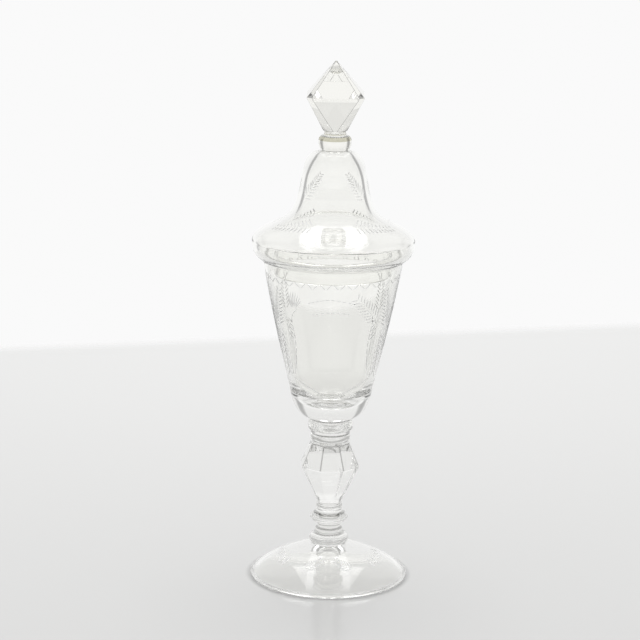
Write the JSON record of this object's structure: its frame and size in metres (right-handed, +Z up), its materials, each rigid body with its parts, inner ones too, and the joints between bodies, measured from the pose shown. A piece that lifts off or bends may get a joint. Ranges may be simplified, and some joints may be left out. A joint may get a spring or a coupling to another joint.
{
  "type": "covered goblet",
  "caption": "Covered glass goblet: engraved flaring bowl on a faceted baluster stem with collars and a conical foot, and a loose bell-shaped cover with a cut finial.",
  "frame": {"origin": "middle of the foot's underside, on the plane it stands on", "axes": "+Z up along the goblet's axis, -Y towards the viewer of the picture"},
  "size_m": [0.0924, 0.0924, 0.2998],
  "materials": {
    "clear_glass": "polished, with matt wheel engraving",
    "warm_glass": "polished, faintly straw-coloured where it is thick"
  },
  "bodies": {
    "goblet": {"foot": "clear_glass", "foot_merese": "clear_glass", "lower_ring": "clear_glass", "disc_knop": "clear_glass", "neck_rings": "clear_glass", "baluster": "clear_glass", "collar_lower": "clear_glass", "collar_upper": "clear_glass", "bowl": "clear_glass"},
    "cover": {"cover": "clear_glass", "cover_merese": "warm_glass", "finial": "warm_glass"}
  },
  "joints": [
    {"name": "cover_lift", "type": "slide", "parent": "goblet", "child": "cover", "axis": [0, 0, 1], "range_m": [0, 0.12]}
  ]
}
